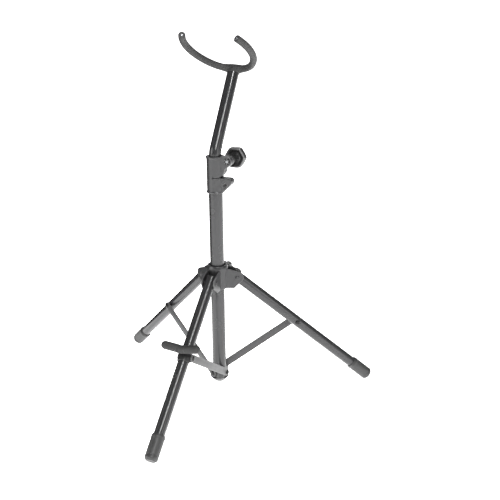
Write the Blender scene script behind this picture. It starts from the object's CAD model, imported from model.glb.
"""Looks of the saxophone stand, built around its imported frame."""

import math

import bmesh
import bpy
from mathutils import Matrix, Vector


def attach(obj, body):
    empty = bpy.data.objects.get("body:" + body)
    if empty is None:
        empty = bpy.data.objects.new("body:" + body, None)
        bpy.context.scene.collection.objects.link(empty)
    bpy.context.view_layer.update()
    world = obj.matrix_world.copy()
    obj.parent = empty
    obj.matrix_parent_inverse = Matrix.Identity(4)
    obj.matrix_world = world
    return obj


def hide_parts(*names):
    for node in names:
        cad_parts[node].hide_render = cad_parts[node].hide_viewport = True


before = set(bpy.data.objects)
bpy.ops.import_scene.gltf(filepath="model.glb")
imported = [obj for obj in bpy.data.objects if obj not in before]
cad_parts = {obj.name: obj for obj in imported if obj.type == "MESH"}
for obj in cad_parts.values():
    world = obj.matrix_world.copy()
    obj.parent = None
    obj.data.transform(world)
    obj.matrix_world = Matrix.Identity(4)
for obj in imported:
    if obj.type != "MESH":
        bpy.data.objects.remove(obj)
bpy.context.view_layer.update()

MM = 0.001
TURNS = {"front": -90, "right": 30, "left": 150}

# ---- Camera ----

CAMERA_PLACE = (0.64716, -1.48709, 0.81203)
CAMERA_TURN = 0.372586
CAMERA_DOWN = 0.31459
CAMERA_ROLL = -0.00989

camera_data = bpy.data.cameras.new("camera")
camera_data.sensor_width = 36
camera_data.lens = 65.938
camera_data.clip_end = 200
camera = bpy.data.objects.new("camera", camera_data)
bpy.context.scene.collection.objects.link(camera)
camera.matrix_world = (
    Matrix.Translation(CAMERA_PLACE)
    @ Matrix.Rotation(CAMERA_TURN, 4, "Z")
    @ Matrix.Rotation(math.pi / 2 - CAMERA_DOWN, 4, "X")
    @ Matrix.Rotation(CAMERA_ROLL, 4, "Z")
)
bpy.context.scene.camera = camera
bpy.context.scene.view_settings.view_transform = "Standard"

# ---- The stand's own sizes, in millimetres, in the same frame as its steel ----

TUBE_R, TUBE_BORE, TUBE_LOW, TUBE_HIGH = 13, 11.5, 47, 430
ROD_R, ROD_BORE, ROD_LOW, ROD_BEND, ROD_BEND_R = 11, 9.5, 170, 471, 24
ROD_LEAN, ROD_REACH, ROD_TURN = 31, 161, -4
YOKE_TURN, YOKE_R, YOKE_CORE_R, CORE_SOFT = 3.5, 6.5, 2.3, 0.9
SWELL_HALF, SWELL_RISE = 26, 2.4
YOKE_MID_R, YOKE_MID_ANGLE, YOKE_SIDE_R, YOKE_SIDE_ANGLE = 50, 56, 112, 58
CLAMP_LOW, CLAMP_SLIT, CLAMP_HIGH, CLAMP_R = 396, 426, 464, 15.75
EAR_REACH, EAR_Z, EAR_R, EAR_HALF = 26.5, 456, 8.5, 8
LOW_EAR_REACH, LOW_EAR_Z, LOW_EAR_R = 28, 418.4, 6.5
LOW_BOLT_REACH, LOW_BOLT_Z, POCKET_DEEP = 22, 412, 3.5
KNOB_R, KNOB_FROM = 19, 27
HUB_LOW, HUB_HIGH, HUB_R, LINER_R, HUB_KNOB_Z = 213, 258, 20, 14.4, 235.5
PIVOT_R, PIVOT_Z, CHEEK_GAP, CHEEK_T, CHEEK_R = 36, 232.5, 21.2, 2.2, 12
LEG_R, LEG_BORE, LEG_ANGLE, LEG_LEN, BRACE_AT = 10, 8.7, 40.8, 337.5, 153
FOOT_FROM, FOOT_R = 299, 12
BRACE_W, BRACE_T, BRACE_OFF, BRACE_Z = 14, 3, 13.4, 38
REST_AT, REST_UP, REST_HALF, REST_RISE, REST_R = 148, 21.5, 29.5, 8.5, 7.5
SADDLE_IN, SADDLE_OUT = 10.15, 11.75
FITTING_LOW, FITTING_HIGH, FITTING_R, FITTING_FLAT = 20, 47, 18.5, 13.2


def turn_x(a):
    return Matrix.Rotation(math.radians(a), 4, "X")


def turn_y(a):
    return Matrix.Rotation(math.radians(a), 4, "Y")


def turn_z(a):
    return Matrix.Rotation(math.radians(a), 4, "Z")


def move(x, y, z):
    return Matrix.Translation((x, y, z))


BRACE_TOP_R = PIVOT_R + BRACE_AT * math.cos(math.radians(LEG_ANGLE))
BRACE_TOP_Z = PIVOT_Z - BRACE_AT * math.sin(math.radians(LEG_ANGLE))
BRACE_LEN = math.hypot(BRACE_TOP_R, BRACE_TOP_Z - BRACE_Z)
BRACE_ANGLE = math.degrees(math.atan2(BRACE_TOP_Z - BRACE_Z, BRACE_TOP_R))

UP = Matrix.Identity(4)
ALONG_Y = turn_x(-90)
ALONG_X = turn_y(90)
ROD = turn_z(ROD_TURN) @ move(0, 0, ROD_BEND) @ turn_x(-ROD_LEAN)
YOKE = ROD @ move(0, 0, ROD_REACH) @ turn_z(180 + YOKE_TURN)
LEG = {
    side: turn_z(a) @ move(PIVOT_R, 0, PIVOT_Z) @ turn_y(LEG_ANGLE)
    for side, a in TURNS.items()
}
BRACE = {
    side: turn_z(a) @ move(0, 0, BRACE_Z) @ turn_y(-BRACE_ANGLE)
    for side, a in TURNS.items()
}

# ---- Finishes ----


def linear(colour):
    """An sRGB hex colour as linear RGBA."""
    parts = [int(colour[i : i + 2], 16) / 255 for i in (1, 3, 5)]
    return tuple(c / 12.92 if c <= 0.04045 else ((c + 0.055) / 1.055) ** 2.4 for c in parts) + (1,)


def add(tree, kind, **settings):
    """Adds a node; each setting is one of its properties, or an input's value or link."""
    made = tree.nodes.new("ShaderNode" + kind)
    for key, value in settings.items():
        socket = made.inputs.get(key.replace("_", " "))
        if socket is None:
            setattr(made, key, value)
        elif isinstance(value, bpy.types.NodeSocket):
            tree.links.new(value, socket)
        else:
            socket.default_value = value
    return made


def finish_of(name, base, tint, patch, grain, bump, rough, metallic=0.0, wear=None,
              patch_share=0.6, rough_spread=0.08):
    """A surface whose colour drifts in patches of patch mm between base and tint, with a grain
    of grain mm that stands bump mm proud, and edges rubbed to the wear colour."""
    material = bpy.data.materials.new(name)
    material.use_nodes = True
    tree = material.node_tree
    shader = tree.nodes["Principled BSDF"]
    where = add(tree, "TexCoord").outputs["Object"]
    cloud = add(tree, "TexNoise", Vector=where, Scale=1000 / patch, Detail=4.0, Roughness=0.55)
    drift = add(tree, "MapRange", Value=cloud.outputs["Fac"], From_Min=0.35, From_Max=0.65,
                To_Max=patch_share)
    colour = add(tree, "MixRGB", Fac=drift.outputs["Result"], Color1=linear(base),
                 Color2=linear(tint)).outputs["Color"]
    if wear:
        edge = add(tree, "MapRange", Value=add(tree, "NewGeometry").outputs["Pointiness"],
                   From_Min=0.52, From_Max=0.58, To_Max=0.75)
        colour = add(tree, "MixRGB", Fac=edge.outputs["Result"], Color1=colour,
                     Color2=linear(wear)).outputs["Color"]
    tree.links.new(colour, shader.inputs["Base Color"])
    fine = add(tree, "TexNoise", Vector=where, Scale=1000 / grain, Detail=2.0, Roughness=0.6)
    gloss = add(tree, "MapRange", Value=cloud.outputs["Fac"], From_Min=0.3, From_Max=0.7,
                To_Min=rough - rough_spread / 2, To_Max=rough + rough_spread / 2)
    tree.links.new(gloss.outputs["Result"], shader.inputs["Roughness"])
    raised = add(tree, "Bump", Height=fine.outputs["Fac"], Strength=1.0, Distance=bump * MM)
    tree.links.new(raised.outputs["Normal"], shader.inputs["Normal"])
    shader.inputs["Metallic"].default_value = metallic
    return material


# Steel tube, powder coated: an even satin skin with a faint orange peel about 1.5 mm across.
column_coat = finish_of("powder_coated_column", "#29292a", "#303031", 60, 1.6, 0.010, 0.26,
                        wear="#6f6f70")
leg_coat = finish_of("powder_coated_leg", "#29292a", "#2f2f30", 60, 1.6, 0.010, 0.25,
                     wear="#6a6a6a")
# The rod slides in the clamp, so its coat is the glossiest: darker, with a narrow shine.
rod_coat = finish_of("gloss_coated_rod", "#222223", "#29292a", 45, 1.8, 0.008, 0.24, wear="#5c5c5c")
# Flat steel bar, painted dark grey: slightly mottled, with paler rubbed edges.
bar_paint = finish_of("painted_flat_bar", "#212122", "#29292a", 30, 1.4, 0.012, 0.42,
                      wear="#a2a2a2")
# Pressed and painted steel of the hub: satin, with edges rubbed bright.
hub_paint = finish_of("painted_pressed_steel", "#252526", "#2e2e2f", 25, 1.5, 0.014, 0.34,
                      wear="#9a9a9a")
# Glass-filled nylon, moulded: a dull grain under 1 mm, drawn coarse enough to show.
filled_nylon = finish_of("moulded_filled_nylon", "#282829", "#323233", 14, 1.1, 0.030, 0.36,
                         wear="#7f7f80")
# Phenolic knob, compression moulded: dark, with cloudy patches and polished rims.
knob_phenolic = finish_of("moulded_phenolic", "#141414", "#2e2e2e", 7, 1.0, 0.025, 0.36,
                          wear="#8a8a8a", patch_share=0.9)
# Plain nylon of the liners and plugs: black and waxy.
liner_nylon = finish_of("turned_black_nylon", "#161616", "#1d1d1d", 12, 0.9, 0.010, 0.45)
# Dipped vinyl rubber of the yoke and rest: matt, with a fine even tooth.
sleeve_rubber = finish_of("dipped_sleeve_rubber", "#252525", "#292929", 18, 0.8, 0.035, 0.68)
# Moulded foot rubber: dull black gone grey with dust, with a coarser tooth.
foot_rubber = finish_of("moulded_foot_rubber", "#2c2c2c", "#363636", 10, 0.9, 0.045, 0.5,
                        wear="#666666")
# Black oxide on the rivets, bolts and the clamp's nuts: dark metal with a soft shine.
black_oxide = finish_of("black_oxide_steel", "#2b2b2b", "#3a3a3a", 4, 0.6, 0.008, 0.34,
                        metallic=1.0, wear="#8c8c8c")
# Saddle of the rest: pressed steel, dipped black, duller than the tubes.
saddle_paint = finish_of("dipped_pressed_steel", "#1c1c1c", "#242424", 12, 1.2, 0.016, 0.42,
                         wear="#6a6a6a")
# Zinc plate on the knobs' screws, the yoke's bar and the rest's post: grey, cloudy metal.
zinc_plate = finish_of("zinc_plated_steel", "#7c7e80", "#96989a", 3, 0.5, 0.006, 0.36,
                       metallic=1.0)

# ---- Shapes ----


def rounded(corners, closed=False, steps=5):
    """A line of points (x, y, r) with each corner rounded to its radius r."""
    line, count = [], len(corners)
    for i, (x, y, r) in enumerate(corners):
        here = Vector((x, y))
        if r <= 0 or (not closed and i in (0, count - 1)):
            line.append((x, y))
            continue
        before = Vector(corners[i - 1][:2]) - here
        after = Vector(corners[(i + 1) % count][:2]) - here
        half = before.angle(after) / 2
        cut = min(r / math.tan(half), 0.49 * before.length, 0.49 * after.length)
        a, b = here + before.normalized() * cut, here + after.normalized() * cut
        for k in range(steps + 1):
            t = k / steps
            line.append(tuple(a * (1 - t) ** 2 + here * 2 * t * (1 - t) + b * t**2))
    return line


def shell(points, faces, place):
    """A closed mesh of points in millimetres, put in its place."""
    made = bpy.data.meshes.new("shape")
    made.from_pydata([tuple((place @ Vector(p)) * MM) for p in points], [], faces)
    work = bmesh.new()
    work.from_mesh(made)
    bmesh.ops.recalc_face_normals(work, faces=work.faces)
    work.to_mesh(made)
    work.free()
    for face in made.polygons:
        face.use_smooth = True
    return made


def turned(line, place=UP, sides=72, outline=None):
    """Turns a line of (radius, height) about the place's Z. An outline gives the most that the
    radius may be in a direction and at a height, for hexagons, squares and flats."""
    points, faces, rings = [], [], []
    for r, h in line:
        if r < 1e-6:
            rings.append([len(points)])
            points.append((0, 0, h))
            continue
        ring = []
        for i in range(sides):
            a = 2 * math.pi * i / sides
            reach = min(r, outline(a, h)) if outline else r
            ring.append(len(points))
            points.append((reach * math.cos(a), reach * math.sin(a), h))
        rings.append(ring)
    joined = len(rings[0]) > 1 and len(rings[-1]) > 1
    pairs = list(zip(rings, rings[1:])) + ([(rings[-1], rings[0])] if joined else [])
    for low, high in pairs:
        for i in range(sides):
            j = (i + 1) % sides
            if len(low) == 1:
                faces.append((low[0], high[j], high[i]))
            elif len(high) == 1:
                faces.append((low[i], low[j], high[0]))
            else:
                faces.append((low[i], low[j], high[j], high[i]))
    return shell(points, faces, place)


def pipe_line(outer, bore, low, high, soft=0.5):
    """The section of a tube with softened rims, for turned()."""
    return rounded([(bore, low, soft), (outer, low, soft), (outer, high, soft), (bore, high, soft)],
                   closed=True)


def rod_line(radius, length, soft=0.6, low=0):
    """The section of a solid round piece with softened rims."""
    return rounded([(0, low, 0), (radius, low, soft), (radius, length, soft), (0, length, 0)])


def dome_line(radius, height, low=0):
    """The section of a low domed rivet head with a crisp foot."""
    return rounded([(0, low - 0.6, 0), (radius - 0.3, low - 0.6, 0.2), (radius, low + 0.5, 0.4),
                    (radius * 0.72, low + height * 0.86, 1.6), (0, low + height, 0)])


def swept(line, radii, place=UP, sides=40, round_ends=0.0):
    """A round bar along a line of (point, direction) in the XY plane of its place, with a
    radius at each point and its ends rounded off."""
    line, radii = list(line), list(radii)
    if round_ends:
        for end, step in ((0, -1), (-1, 1)):
            point, way = line[end]
            r = radii[end]
            cap = [(k + 1) / 6 * math.pi / 2 for k in range(6)]
            new = [(point + way * step * round_ends * math.sin(a), way) for a in cap]
            size = [max(0.02, r - round_ends * (1 - math.cos(a))) for a in cap]
            if end == 0:
                line, radii = new[::-1] + line, size[::-1] + radii
            else:
                line, radii = line + new, radii + size
    points, faces = [], []
    for (point, way), r in zip(line, radii):
        side = Vector((-way.y, way.x, 0))
        for i in range(sides):
            a = 2 * math.pi * i / sides
            points.append(tuple(point + side * (r * math.cos(a)) + Vector((0, 0, r * math.sin(a)))))
    for k in range(len(line) - 1):
        for i in range(sides):
            j = (i + 1) % sides
            faces.append((k * sides + i, k * sides + j, (k + 1) * sides + j, (k + 1) * sides + i))
    faces.append(tuple(range(sides - 1, -1, -1)))
    last = (len(line) - 1) * sides
    faces.append(tuple(last + i for i in range(sides)))
    return shell(points, faces, place)


def arc(centre, r, start, end, steps):
    """(point, direction) along an arc that turns left, from one heading to another."""
    made = []
    for k in range(steps + 1):
        h = math.radians(start + (end - start) * k / steps)
        point = Vector((centre[0] + r * math.sin(h), centre[1] - r * math.cos(h), 0))
        made.append((point, Vector((math.cos(h), math.sin(h), 0))))
    return made


def plate(outline, thick, place=UP, soft=0.0, steps=3):
    """A flat piece of the outline's shape, in the XY plane, with its edges softened in steps."""
    work = bmesh.new()
    face = work.faces.new([work.verts.new((x, y, 0)) for x, y in outline])
    grown = bmesh.ops.extrude_face_region(work, geom=[face])
    bmesh.ops.translate(work, vec=(0, 0, thick),
                        verts=[v for v in grown["geom"] if isinstance(v, bmesh.types.BMVert)])
    bmesh.ops.recalc_face_normals(work, faces=work.faces)
    if soft:
        rims = [e for e in work.edges if abs(e.verts[0].co.z - e.verts[1].co.z) < 1e-6]
        bmesh.ops.bevel(work, geom=rims, offset=soft, segments=steps, profile=0.5, affect="EDGES")
    bmesh.ops.transform(work, matrix=Matrix.Scale(MM, 4) @ place, verts=work.verts)
    made = bpy.data.meshes.new("shape")
    work.to_mesh(made)
    work.free()
    for face in made.polygons:
        face.use_smooth = True
    return made


def slab(low, high, place=UP):
    """A box between two corners, for cutting and joining."""
    outline = [(low[0], low[1]), (high[0], low[1]), (high[0], high[1]), (low[0], high[1])]
    return plate(outline, high[2] - low[2], place @ move(0, 0, low[2]))


def joined(shapes):
    """Several shapes as one mesh."""
    work = bmesh.new()
    for one in shapes:
        work.from_mesh(one)
    made = bpy.data.meshes.new("shape")
    work.to_mesh(made)
    work.free()
    return made


def applied(mesh, *modifiers):
    """The mesh with modifiers (kind, settings) applied in turn."""
    holder = bpy.data.objects.new("holder", mesh)
    bpy.context.scene.collection.objects.link(holder)
    for kind, settings in modifiers:
        one = holder.modifiers.new(kind, kind)
        for key, value in settings.items():
            setattr(one, key, value)
    graph = bpy.context.evaluated_depsgraph_get()
    made = bpy.data.meshes.new_from_object(holder.evaluated_get(graph))
    bpy.data.objects.remove(holder)
    return made


def moulded(shapes, cuts=(), grain=0.6, soften=4, keep=0.5):
    """One skin over overlapping shapes, less the cuts, with every edge softened."""
    fine = ("REMESH", {"mode": "VOXEL", "voxel_size": grain * MM})
    mesh = applied(joined(shapes), fine)
    if cuts:
        tool = bpy.data.objects.new("tool", applied(joined(cuts), fine))
        bpy.context.scene.collection.objects.link(tool)
        mesh = applied(mesh, ("BOOLEAN", {"operation": "DIFFERENCE", "object": tool,
                                          "solver": "EXACT"}), fine)
        bpy.data.objects.remove(tool)
    mesh = applied(mesh, ("SMOOTH", {"factor": 0.5, "iterations": soften}),
                   ("DECIMATE", {"ratio": keep}))
    for face in mesh.polygons:
        face.use_smooth = True
    return mesh


def piece(name, mesh, material, body, slot, *nodes, sharp=None):
    """A finished piece: it rides on its body and stands for its steel or plastic nodes."""
    mesh.name = name
    if sharp:
        mesh.set_sharp_from_angle(angle=math.radians(sharp))
    mesh.materials.clear()
    mesh.materials.append(material)
    made = bpy.data.objects.new(name, mesh)
    bpy.context.scene.collection.objects.link(made)
    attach(made, body)
    if nodes:
        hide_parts(*nodes)
    return made


# ---- Column ----

piece("column_tube", turned(pipe_line(TUBE_R, TUBE_BORE, TUBE_LOW, TUBE_HIGH), sides=96),
      column_coat, "column", "column_paint", "main_tube")


def fitting_flats(a, h):
    """Three flats for the braces, with a soft step where they run out at the bottom."""
    reach = 99.0
    for turn in TURNS.values():
        across = math.cos(a - math.radians(turn + 90))
        if across > 0.1:
            run_out = FITTING_FLAT + 6 * max(0.0, min(1.0, (30.5 - h) / 2.5)) ** 1.5
            reach = min(reach, run_out / across)
    return reach


fitting_line = rounded([(0, FITTING_LOW, 0), (8.5, FITTING_LOW, 4), (FITTING_R, 30, 9),
                        (FITTING_R, FITTING_HIGH, 1.2), (14.2, FITTING_HIGH, 0.5),
                        (13.9, 49, 0.6), (12.9, 49.2, 0.2), (0, 49.2, 0)], steps=8)
fitting_line = list(dict.fromkeys(fitting_line))
# Rings close together where the flats run out, so that the step there is crisp.
STEP_LOW, STEP_HIGH, STEP_RINGS = 27.0, 31.0, 10
above = next(i for i, (r, h) in enumerate(fitting_line) if h > STEP_HIGH)
last_height = fitting_line[above - 1][1]
step_rings = [(FITTING_R, STEP_LOW + (STEP_HIGH - STEP_LOW) * k / STEP_RINGS)
              for k in range(STEP_RINGS + 1)]
fitting_line[above:above] = [ring for ring in step_rings if ring[1] > last_height]
piece("bottom_fitting_moulding", turned(fitting_line, sides=144, outline=fitting_flats),
      filled_nylon, "column", "moulded_nylon", "bottom_fitting", "fitting_pin", sharp=28)

pins = []
for a in TURNS.values():
    at = turn_z(a) @ move(0, 13.0, BRACE_Z) @ ALONG_Y
    pins.append(turned(rod_line(2.5, 4), at, 32))
    pins.append(turned(dome_line(4.8, 2.3, 3.7), at, 40))
piece("brace_pivot_rivets", joined(pins), black_oxide, "column", "black_steel",
      "brace_pivot_pins", sharp=40)

# ---- Height clamp ----


def round_end(reach, z, r, start, end, steps=12):
    """Points round the tip of an ear."""
    turns = [math.radians(start + (end - start) * k / steps) for k in range(steps + 1)]
    return [(reach + r * math.cos(t), z + r * math.sin(t)) for t in turns]


def ear(outline):
    """An ear of the clamp: an upright plate across its bolt."""
    return plate(outline, 2 * EAR_HALF, move(0, EAR_HALF, 0) @ turn_x(90))


upper_ear = ([(11, EAR_Z - 26), (CLAMP_R + 1.5, EAR_Z - 26), (CLAMP_R + 5, EAR_Z - 20),
              (CLAMP_R + 5.3, EAR_Z - 15)]
             + round_end(EAR_REACH, EAR_Z, EAR_R, -47, 90) + [(11, EAR_Z + EAR_R - 0.5)])
lower_ear = ([(11, 397), (CLAMP_R - 0.5, 397)]
             + round_end(LOW_EAR_REACH, LOW_EAR_Z, LOW_EAR_R, -45, 90)
             + [(11, LOW_EAR_Z + LOW_EAR_R)])
clamp_body = turned(rounded([(0, CLAMP_LOW, 0), (16.2, CLAMP_LOW, 1.4), (17.0, 398.6, 0.8),
                             (CLAMP_R, 399.6, 0.6), (CLAMP_R, 459.6, 0.8), (17.05, 460.8, 0.5),
                             (17.05, 463.4, 0.7), (16.2, CLAMP_HIGH, 0.5), (0, CLAMP_HIGH, 0)]))


def hexagon(flats, corner=0.3):
    """A hexagon's reach, with its corners cut back a little and one of them at direction 0."""
    def reach(a, h):
        b = a % (math.pi / 3) - math.pi / 6
        return min(flats / 2 / math.cos(b), flats / 2 / math.cos(math.pi / 6) - corner)
    return reach


def diamond(across):
    """A square's reach, standing on its corner."""
    def reach(a, h):
        b = a % (math.pi / 2) - math.pi / 4
        return across / 2 * math.cos(math.pi / 4) / math.cos(b)
    return reach


NUT_FACE = move(0, -EAR_HALF - 1, 0)
clamp_cuts = [
    turned(rod_line(TUBE_R + 0.1, 431, low=380)),
    turned(rod_line(ROD_R + 1.3, 480, low=428)),
    slab((6, -1.2, 390), (50, 1.2, 480)),
    slab((0, -40, CLAMP_SLIT - 1), (50, 40, CLAMP_SLIT + 1)),
    turned(rod_line(5.9, POCKET_DEEP + 1), NUT_FACE @ move(EAR_REACH, 0, EAR_Z) @ ALONG_Y, 72,
           hexagon(10.6)),
    turned(rod_line(6.0, POCKET_DEEP + 1), NUT_FACE @ move(LOW_BOLT_REACH, 0, LOW_BOLT_Z) @ ALONG_Y,
           64, diamond(10.8)),
]
clamp_shapes = [clamp_body, ear(upper_ear), ear(lower_ear)]
piece("clamp_moulding", moulded(clamp_shapes, clamp_cuts, 0.5, 4, 0.4), filled_nylon,
      "column", "moulded_nylon", "height_collar")
piece("clamp_liner", turned(pipe_line(12.18, ROD_R + 0.06, 431.2, 462.6, 0.3)), liner_nylon,
      "column", "liner_nylon", "rod_liner")

nut_section = rounded([(3.1, 0, 0.3), (5.2, 0, 0.2), (5.75, 0.5, 0.2), (5.75, 4.3, 0.2),
                       (5.2, 4.8, 0.2), (3.1, 4.8, 0.3)], closed=True)
nut_place = move(EAR_REACH, -EAR_HALF - 1.4, EAR_Z) @ ALONG_Y
piece("clamp_bolt_nut", turned(nut_section, nut_place, 72, hexagon(10)), black_oxide, "column",
      "zinc_steel", "clamp_nut", sharp=35)
low_bolt = move(LOW_BOLT_REACH, -EAR_HALF + 1, LOW_BOLT_Z) @ ALONG_Y
lower_nut = rounded([(2.6, 0, 0.2), (4.7, 0, 0.3), (5.0, 0.4, 0.2), (5.0, 1.6, 0.2),
                     (2.6, 1.6, 0.2)], closed=True)
lower_nut_place = low_bolt @ move(0, 0, POCKET_DEEP - 2.6)
piece("clamp_lower_nut", turned(lower_nut, lower_nut_place, 64, diamond(10)), black_oxide,
      "column", "zinc_steel", "collar_nut", sharp=35)
piece("clamp_lower_bolt", joined([turned(rod_line(2.5, 15, 0.3), low_bolt, 32),
                                  turned(dome_line(4.8, 2.8, 15), low_bolt, 40)]),
      black_oxide, "column", "zinc_steel", "collar_bolt", sharp=40)


def knob_shape(section, shape, place, sides=144):
    """A hand knob turned from (radius, height, share), where share is how much of the knob's
    outline shows at that ring, from 0, round, to 1."""
    points, faces = [], []
    for r, h, share in section:
        for i in range(sides):
            a = 2 * math.pi * i / sides
            reach = r * (1 + (shape(a) - 1) * share)
            points.append((reach * math.cos(a), reach * math.sin(a), h))
    for k in range(len(section)):
        n = (k + 1) % len(section)
        for i in range(sides):
            j = (i + 1) % sides
            faces.append((k * sides + i, k * sides + j, n * sides + j, n * sides + i))
    return shell(points, faces, place)


def soft_hexagon(a):
    """A hexagon with rounded corners, against the radius of the circle inside it."""
    b = a % (math.pi / 3) - math.pi / 6
    flat, corner = 1 / math.cos(b), 1.09
    return (flat ** -16 + corner ** -16) ** (-1 / 16)


KNOB_AXIS = move(EAR_REACH, 0, EAR_Z) @ ALONG_Y
height_knob_section = [
    (3.05, -18.4, 0), (5.0, -18.4, 0), (5.6, -17.9, 0), (5.7, -10, 0), (6.2, -4, 0), (6.9, 0.4, 0),
    (7.4, 3.2, 0), (8.6, 4.3, 0), (10.6, 4.4, 0.1), (12.8, 3.6, 0.4), (14.2, 2.2, 0.7),
    (15.2, 0.7, 0.9), (16.6, 0, 1), (18.0, 0.4, 1), (18.8, 1.3, 1), (KNOB_R, 2.6, 1),
    (KNOB_R, 6, 1), (KNOB_R, 10.4, 1), (18.8, 11.7, 1), (18.1, 12.6, 1), (16.9, 13, 1),
    (15.6, 12.8, 0.95), (14.8, 12, 0.85), (14.0, 11.1, 0.7), (12.2, 10.6, 0.4), (9.8, 10.5, 0.1),
    (8.8, 10.8, 0), (8.4, 11.8, 0), (7.8, 12.2, 0), (6.8, 12.2, 0), (6.4, 11.6, 0), (6.3, 9.2, 0),
    (3.05, 9.0, 0)]
piece("height_knob_moulding", knob_shape(height_knob_section, soft_hexagon,
                                         KNOB_AXIS @ move(0, 0, KNOB_FROM)),
      knob_phenolic, "clamp_knob", "knob_plastic", "height_knob", sharp=50)
thread = [(2.95 - 0.3 * (k % 2), 8.5 + 0.5 * k) for k in range(27)]
screw_line = ([(0, -9.2), (2.4, -9.2), (2.9, -8.7), (2.95, 8.0)] + thread
              + [(2.95, 22.4), (2.95, 36.3), (6.0, 36.4), (6.1, 37.0), (5.6, 37.6), (4.0, 38.2),
                 (0, 38.5)])
piece("height_knob_screw", turned(screw_line, KNOB_AXIS, 48), zinc_plate, "clamp_knob",
      "zinc_steel", "height_knob_stud", sharp=30)

# ---- Upper rod and yoke ----

rod_in_plane = turn_z(ROD_TURN) @ turn_x(90) @ turn_y(-90)
bend_start = ROD_BEND - ROD_BEND_R * math.tan(math.radians(ROD_LEAN / 2))
bend = arc((-ROD_BEND_R, bend_start), ROD_BEND_R, 90, 90 + ROD_LEAN, 20)
lean = math.radians(90 + ROD_LEAN)
rod_way = Vector((math.cos(lean), math.sin(lean), 0))
rod_end = Vector((0, ROD_BEND, 0)) + rod_way * (ROD_REACH - 7)
rod_path = ([(Vector((0, ROD_LOW, 0)), Vector((0, 1, 0)))] + bend + [(rod_end, rod_way)])
piece("rod_tube", swept(rod_path, [ROD_R] * len(rod_path), rod_in_plane, 72, 0.5), rod_coat, "rod",
      "rod_paint", "upper_rod", sharp=50)
guide = joined([turned(rod_line(TUBE_BORE - 0.1, 170, 0.8, low=165)),
                turned(rod_line(ROD_BORE - 0.1, 186, 0.8, low=169))])
piece("rod_foot_guide", guide, liner_nylon, "rod_foot", "liner_nylon", "rod_guide")


def yoke_path(steps):
    """The yoke's line, from its left end to its right: a middle arc between two side arcs."""
    mid_r, mid_a, side_r, side_a = YOKE_MID_R, YOKE_MID_ANGLE, YOKE_SIDE_R, YOKE_SIDE_ANGLE
    shift = side_r - mid_r
    x, y = shift * math.sin(math.radians(mid_a)), mid_r + shift * math.cos(math.radians(mid_a))
    left = arc((x, y), side_r, -(mid_a + side_a), -mid_a, steps)
    middle = arc((0, mid_r), mid_r, -mid_a, mid_a, 2 * steps)
    right = arc((-x, y), side_r, mid_a, mid_a + side_a, steps)
    return left + middle[1:-1] + right


yoke_line = yoke_path(20)
core = swept(yoke_line, [YOKE_CORE_R] * len(yoke_line), YOKE, 32, CORE_SOFT)
spigot = turned(rod_line(ROD_BORE - 0.1, 159, 0.4, low=132), ROD, 48)
piece("yoke_core_bar", joined([core, spigot]), zinc_plate, "rod", "zinc_steel", "yoke_bar",
      sharp=50)

inset = 0.9
first, last_point = yoke_line[0], yoke_line[-1]
sleeve_line = ([(first[0] + first[1] * inset, first[1])] + yoke_line[1:-1]
               + [(last_point[0] - last_point[1] * inset, last_point[1])])
sleeve = swept(sleeve_line, [YOKE_R] * len(sleeve_line), YOKE, 40, inset)
boss = turned(rounded([(0, 152.6, 0), (11.7, 152.6, 0.7), (11.8, 154.2, 1.0), (10.4, 158.5, 4),
                       (7.4, 165.2, 3), (0, 165.2, 0)]), ROD, 48)
swell_at = [-SWELL_HALF + 2 * SWELL_HALF * k / 16 for k in range(17)]
swell_line = [(Vector((x, x * x / 2 / YOKE_MID_R, 0)), Vector((1, x / YOKE_MID_R, 0)).normalized())
              for x in swell_at]
swell_radii = [YOKE_R - 0.1 + SWELL_RISE * math.cos(math.pi / 2 * x / SWELL_HALF) ** 2
               for x in swell_at]
swell = swept(swell_line, swell_radii, YOKE, 40)
yoke_rubber = moulded([sleeve, boss, swell], grain=0.55, soften=8, keep=0.5)
yoke_sleeve = piece("yoke_rubber_sleeve", yoke_rubber, sleeve_rubber, "rod", "sleeve_rubber",
                    "yoke_sleeve")

# ---- Hub ----


def cheek(side, turn):
    """One cheek of a leg's clevis, from the ring to its round end."""
    outline = [(12, HUB_LOW), (PIVOT_R - 6, HUB_LOW - 1.0)]
    for k in range(15):
        a = math.radians(-68 + 136 * k / 14)
        outline.append((PIVOT_R + (CHEEK_R - 0.2) * math.cos(a),
                        PIVOT_Z + (CHEEK_R - 0.2) * math.sin(a)))
    outline += [(HUB_R + 3, PIVOT_Z + 17), (12, PIVOT_Z + 18)]
    off = CHEEK_GAP / 2 + CHEEK_T if side > 0 else -CHEEK_GAP / 2
    return plate(outline, CHEEK_T, turn_z(turn) @ move(0, off, 0) @ turn_x(90), 0.45, 2)


cheeks = [cheek(side, a) for a in TURNS.values() for side in (-1, 1)]
hub_ring = turned(rounded([(LINER_R + 0.05, HUB_LOW, 0.6), (HUB_R, HUB_LOW, 1.0),
                           (HUB_R, HUB_HIGH - 4.5, 2.0), (HUB_R - 1.6, HUB_HIGH, 0.7),
                           (LINER_R + 1.4, HUB_HIGH, 0.7), (LINER_R + 0.05, HUB_HIGH - 3, 0.8)],
                          closed=True))
hub_boss = turned(rounded([(0, 17, 0), (9.8, 17, 0), (8.9, 20, 1.5), (8.9, 30.4, 0.8),
                           (8.2, 31, 0.4), (0, 31, 0)]), move(0, 0, HUB_KNOB_Z) @ ALONG_Y)
hub_cuts = [turned(rod_line(LINER_R + 0.05, 262, low=208))]
hub_mesh = moulded([hub_ring, hub_boss] + cheeks, hub_cuts, 0.55, 3, 0.4)
piece("hub_spider_pressing", hub_mesh, hub_paint, "hub", "hub_paint", "hub_spider")
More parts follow.
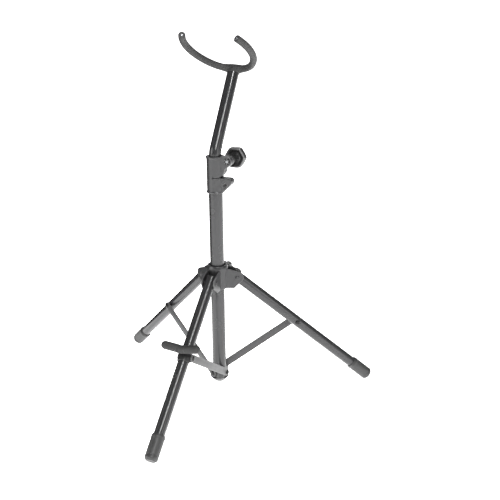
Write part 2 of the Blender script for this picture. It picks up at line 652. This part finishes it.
liner = turned(rounded([(TUBE_R + 0.06, 212, 0.3), (LINER_R - 0.02, 212, 0.3),
                        (LINER_R - 0.02, 254.5, 0.4), (TUBE_R + 0.06, 255.6, 0.3)], closed=True))
piece("hub_slide_liner", liner, liner_nylon, "hub", "liner_nylon", "hub_liner", sharp=40)

rivets = []
for a in TURNS.values():
    for side in (-1, 1):
        at = (turn_z(a) @ move(PIVOT_R, side * (CHEEK_GAP / 2 + CHEEK_T), PIVOT_Z)
              @ turn_x(-90 * side))
        rivets.append(turned(dome_line(4.4, 1.7), at, 40))
    shank_place = turn_z(a) @ move(PIVOT_R, -12.4, PIVOT_Z) @ ALONG_Y
    rivets.append(turned(rod_line(2.4, 24.8), shank_place, 24))
piece("leg_pivot_rivets", joined(rivets), hub_paint, "hub", "hub_paint", "leg_pivot_pins", sharp=40)


def scooped(a, lobes=6):
    """Lobes with scooped flutes between them."""
    return 1 - 0.17 * max(0.0, -math.cos(lobes * a)) ** 1.5


thumb_section = [
    (3.05, 31.7, 0), (6.6, 31.7, 0), (7.0, 32.2, 0), (7.6, 33.8, 0.1), (12, 34.0, 0.7),
    (14.8, 34.3, 1), (15.8, 35.4, 1), (16, 37, 1), (16, 43.6, 1), (15.6, 45.0, 1), (14.4, 45.9, 1),
    (12.4, 46, 0.9), (9, 45.6, 0.5), (6.4, 45.6, 0), (5.6, 45.0, 0), (3.05, 44.8, 0)]
thumb_axis = move(0, 0, HUB_KNOB_Z) @ ALONG_Y
piece("hub_thumb_moulding", knob_shape(thumb_section, scooped, thumb_axis), knob_phenolic,
      "hub_knob", "knob_plastic", "hub_thumb_knob", sharp=50)
thumb_screw_line = rounded([(0, 13, 0), (3, 13, 0.4), (3, 44.9, 0.4), (0, 45.4, 0)])
piece("hub_thumb_screw", turned(thumb_screw_line, thumb_axis, 40), zinc_plate,
      "hub_knob", "zinc_steel", "hub_thumb_stud", sharp=40)

# ---- Legs, feet and braces ----

foot_section = rounded([
    (LEG_R + 0.05, 3, 0.4), (LEG_R + 0.05, 0.6, 0.3), (11.0, 0, 0.5), (11.7, 1.6, 0.8),
    (12.55, 4.8, 1.5), (FOOT_R, 8.5, 2.5), (FOOT_R, 36.6, 0.5), (11.35, 37.3, 0.4),
    (11.35, 38.3, 0.4), (FOOT_R, 39.0, 0.5), (FOOT_R, 43.4, 2.6), (8.6, 47, 2.2),
    (0, 47, 0)], steps=6)

for side in TURNS:
    at, body = LEG[side], side + "_leg"
    piece("leg_tube_" + side, turned(pipe_line(LEG_R, LEG_BORE, -10, LEG_LEN), at @ ALONG_X, 80),
          leg_coat, body, "leg_paint", "leg_" + side)
    plug = turned(rounded([(0, -11.5, 0), (8.8, -11.5, 0.9), (10, -10.5, 0.5), (10, -10.05, 0.2),
                           (8.65, -9.9, 0.1), (8.65, -4, 0.6), (0, -4, 0)]), at @ ALONG_X, 56)
    piece("leg_end_plug_" + side, plug, liner_nylon, body, "liner_nylon", "leg_plug_" + side,
          sharp=40)
    foot = turned([(0, 2.9)] + foot_section, at @ move(FOOT_FROM, 0, 0) @ ALONG_X, 80)
    for v in foot.vertices:
        v.co.z = max(v.co.z, 0.0)
    piece("foot_rubber_" + side, foot, foot_rubber, body, "foot_rubber", "foot_" + side, sharp=60)

    out = SADDLE_OUT if side == "front" else LEG_R
    bolt_at = at @ move(BRACE_AT, -out, 0) @ turn_x(90)
    bolt = joined([turned(dome_line(4.8, 2.2), bolt_at, 40),
                   turned(rod_line(2.4, 0.0, 0.2, low=-out - LEG_R + 0.1), bolt_at, 24)])
    piece("leg_bolt_head_" + side, bolt, black_oxide, body, "black_steel", "leg_bolt_" + side,
          sharp=40)

    half = BRACE_W / 2
    outline = [(-half * math.sin(math.radians(t)), -half * math.cos(math.radians(t)))
               for t in range(0, 181, 10)]
    outline += [(BRACE_LEN + half * math.sin(math.radians(t)), half * math.cos(math.radians(t)))
                for t in range(0, 181, 10)]
    bar = plate(outline, BRACE_T, BRACE[side] @ move(0, BRACE_OFF + BRACE_T, 0) @ turn_x(90), 0.55)
    piece("brace_bar_" + side, bar, bar_paint, side + "_brace", "brace_paint", "brace_" + side,
          sharp=50)

    inner = out + 0.4
    stud_place = BRACE[side] @ move(BRACE_LEN, 0, 0) @ ALONG_Y
    stud = joined([turned(rod_line(4, BRACE_OFF - 0.02, 0.4, low=inner), stud_place, 40),
                   turned(dome_line(4.8, 2.2, BRACE_OFF + BRACE_T), stud_place, 40)])
    piece("brace_top_rivet_" + side, stud, black_oxide, side + "_brace", "black_steel",
          "brace_stud_" + side, sharp=40)

# ---- Lower rest ----

saddle_low, saddle_high = BRACE_AT - 13, BRACE_AT + 10
half_round = [math.radians(180 - 7.5 * k) for k in range(25)]
saddle_outline = [(SADDLE_OUT * math.cos(t), SADDLE_OUT * math.sin(t)) for t in half_round]
saddle_shape = plate(saddle_outline, saddle_high - saddle_low,
                     LEG["front"] @ move(saddle_low, 0, 0) @ turn_z(90) @ turn_x(90))
saddle_shapes = [
    saddle_shape,
    turned(rod_line(8, 2 * SADDLE_OUT), LEG["front"] @ move(BRACE_AT, -SADDLE_OUT, 0) @ ALONG_Y),
]
saddle_cuts = [
    turned(rod_line(SADDLE_IN, 60), LEG["front"] @ move(saddle_low - 10, 0, 0) @ ALONG_X),
    slab((saddle_low - 10, -SADDLE_IN, -30), (saddle_high + 10, SADDLE_IN, 0), LEG["front"]),
]
piece("rest_saddle_pressing", moulded(saddle_shapes, saddle_cuts, 0.4, 3, 0.5), saddle_paint,
      "front_leg", "black_steel", "rest_saddle")

REST = LEG["front"] @ move(REST_AT, 0, REST_UP)
REST_PLANE = REST @ turn_z(90) @ turn_x(90)
arm_angle = math.degrees(math.atan2(REST_RISE, REST_HALF))
bend_r = 26
flat = bend_r * math.tan(math.radians(arm_angle / 2))
rest_line = []
reach = math.hypot(REST_HALF, REST_RISE)
low_arm = Vector((-math.cos(math.radians(arm_angle)), math.sin(math.radians(arm_angle)), 0))
high_arm = Vector((-low_arm.x, low_arm.y, 0))
for k in range(8):
    rest_line.append((low_arm * (reach - (reach - flat) * k / 8), -low_arm))
for k in range(9):
    h = math.radians(-arm_angle + 2 * arm_angle * k / 8)
    rest_line.append((Vector((bend_r * math.sin(h), bend_r - bend_r * math.cos(h), 0)),
                      Vector((math.cos(h), math.sin(h), 0))))
for k in range(1, 9):
    rest_line.append((high_arm * (flat + (reach - flat) * k / 8), high_arm))
rest_skin = swept(rest_line, [REST_R] * len(rest_line), REST_PLANE, 48, REST_R - 0.05)
rest_sleeve = piece("rest_rubber_sleeve", rest_skin, sleeve_rubber, "front_leg", "sleeve_rubber",
                    "rest_sleeve")
post_line = rod_line(3.5, REST_UP - 2, 0.3, low=SADDLE_OUT - 0.4)
piece("rest_post", turned(post_line, LEG["front"] @ move(REST_AT, 0, 0)), zinc_plate, "front_leg",
      "zinc_steel", "rest_bar", sharp=40)

# ---- Studio ----

FLOOR_HALF, BACKDROP_R, BACKDROP_HIGH, FLAG_HIGH = 30, 29, 25, 0.9
FLOOR_GLOW, BACKDROP_GLOW, ROOM_GLOW = 1.9, 1.0, 0.12


def screen(name, corners, shade, glow):
    """A sheet of paper or cloth of the studio, which isn't part of the stand. Its corners come
    in pairs, and each two pairs make one flat."""
    mesh = bpy.data.meshes.new(name)
    mesh.from_pydata(corners, [], [(i, i + 1, i + 3, i + 2) for i in range(0, len(corners) - 2, 2)])
    made = bpy.data.objects.new(name, mesh)
    bpy.context.scene.collection.objects.link(made)
    paper = bpy.data.materials.new(name)
    paper.use_nodes = True
    shader = paper.node_tree.nodes["Principled BSDF"]
    shader.inputs["Base Color"].default_value = linear(shade)
    shader.inputs["Roughness"].default_value = 0.9
    shader.inputs["Emission Color"].default_value = linear("#ffffff")
    shader.inputs["Emission Strength"].default_value = glow
    mesh.materials.append(paper)
    return made


def on_circle(radius, angle, height):
    """A point of the studio, by its direction in degrees."""
    turn = math.radians(angle)
    return (radius * math.cos(turn), radius * math.sin(turn), height)


screen("floor", [(x, y, 0) for x in (FLOOR_HALF, -FLOOR_HALF) for y in (-FLOOR_HALF, FLOOR_HALF)],
       "#f4f4f4", FLOOR_GLOW)
# A white ring far off, only for the eye, and a black flag that darkens one edge of each tube.
ring = screen("white_backdrop", [on_circle(BACKDROP_R, a, z) for a in range(0, 361, 10)
                                 for z in (-1, BACKDROP_HIGH)], "#f4f4f4", BACKDROP_GLOW)
ring.visible_glossy = ring.visible_diffuse = ring.visible_shadow = False
flag = screen("black_flag", [(x, y, z) for x, y in ((-0.256, 0.565), (-0.555, -0.275))
                             for z in (0, FLAG_HIGH)], "#050505", 0.0)
flag.visible_camera = flag.visible_diffuse = flag.visible_shadow = False

world = bpy.data.worlds.new("studio")
bpy.context.scene.world = world
world.use_nodes = True
background = world.node_tree.nodes["Background"]
background.inputs["Color"].default_value = linear("#ffffff")
background.inputs["Strength"].default_value = ROOM_GLOW


def soft_box(name, way, distance, size, power, long_way=None):
    """An area light that looks at the stand's middle from a direction."""
    data = bpy.data.lights.new(name, "AREA")
    data.shape, data.size, data.size_y = "RECTANGLE", size[0], size[1]
    data.energy = power
    light = bpy.data.objects.new(name, data)
    bpy.context.scene.collection.objects.link(light)
    back = Vector(way).normalized()
    side = (Vector(long_way) if long_way else Vector((0, 0, 1)).cross(back)).normalized()
    side = (side - back * side.dot(back)).normalized()
    up = back.cross(side)
    light.matrix_world = Matrix.Translation(Vector((0, 0, 0.3)) + back * distance) @ Matrix(
        (side, up, back)).transposed().to_4x4()
    return light


soft_box("long_strip", (0.385, -0.45, 0.80), 2.4, (1.9, 0.14), 60, long_way=(0.03, 0.88, 0.47))
soft_box("left_box", (-0.85, -0.75, 0.35), 3.0, (1.6, 1.6), 40)
soft_box("right_box", (1.0, -0.3, 0.25), 3.0, (1.2, 1.6), 20)
soft_box("back_box", (-0.3, 1.0, 0.5), 3.2, (2.0, 1.4), 20)
